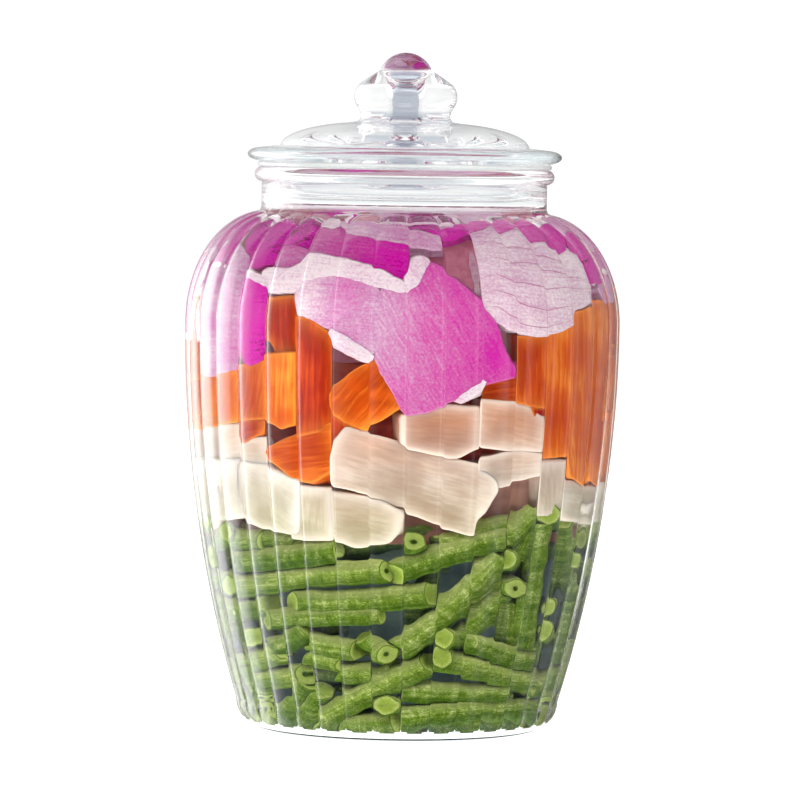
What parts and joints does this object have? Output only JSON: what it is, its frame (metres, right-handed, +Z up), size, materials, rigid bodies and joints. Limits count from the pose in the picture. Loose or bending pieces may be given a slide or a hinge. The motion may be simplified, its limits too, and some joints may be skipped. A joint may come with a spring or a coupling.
{
  "type": "glass pickling crock",
  "caption": "Fluted clear glass pickling crock with a domed, knobbed glass lid, filled with layers of green beans, radish, carrot and red onion in brine.",
  "frame": {"origin": "middle of the crock's foot, on the surface it stands on", "axes": "+Z up the crock's axis towards the lid's knob; the side shown in the picture faces -Y"},
  "size_m": [0.15, 0.15, 0.2328],
  "materials": {
    "clear_glass": "clear pressed glass, smooth and fire-polished, with a faint grey-green edge",
    "clear_silicone": "clear, slightly milky silicone",
    "green_bean": "wet, wrinkled green bean skin with paler cut ends",
    "white_radish": "wet, translucent white radish, faintly pink from the brine",
    "carrot": "wet carrot with a lighter, streaked cut face",
    "red_onion": "wet red onion petals, magenta skin with pale cut edges",
    "brine": "clear, faintly pink brine"
  },
  "bodies": {
    "root": {"crock": "clear_glass", "lid": "clear_glass", "seal_ring": "clear_silicone", "bean_layer": "green_bean", "radish_layer": "white_radish", "carrot_layer": "carrot", "onion_layer": "red_onion", "brine": "brine"}
  },
  "joints": []
}
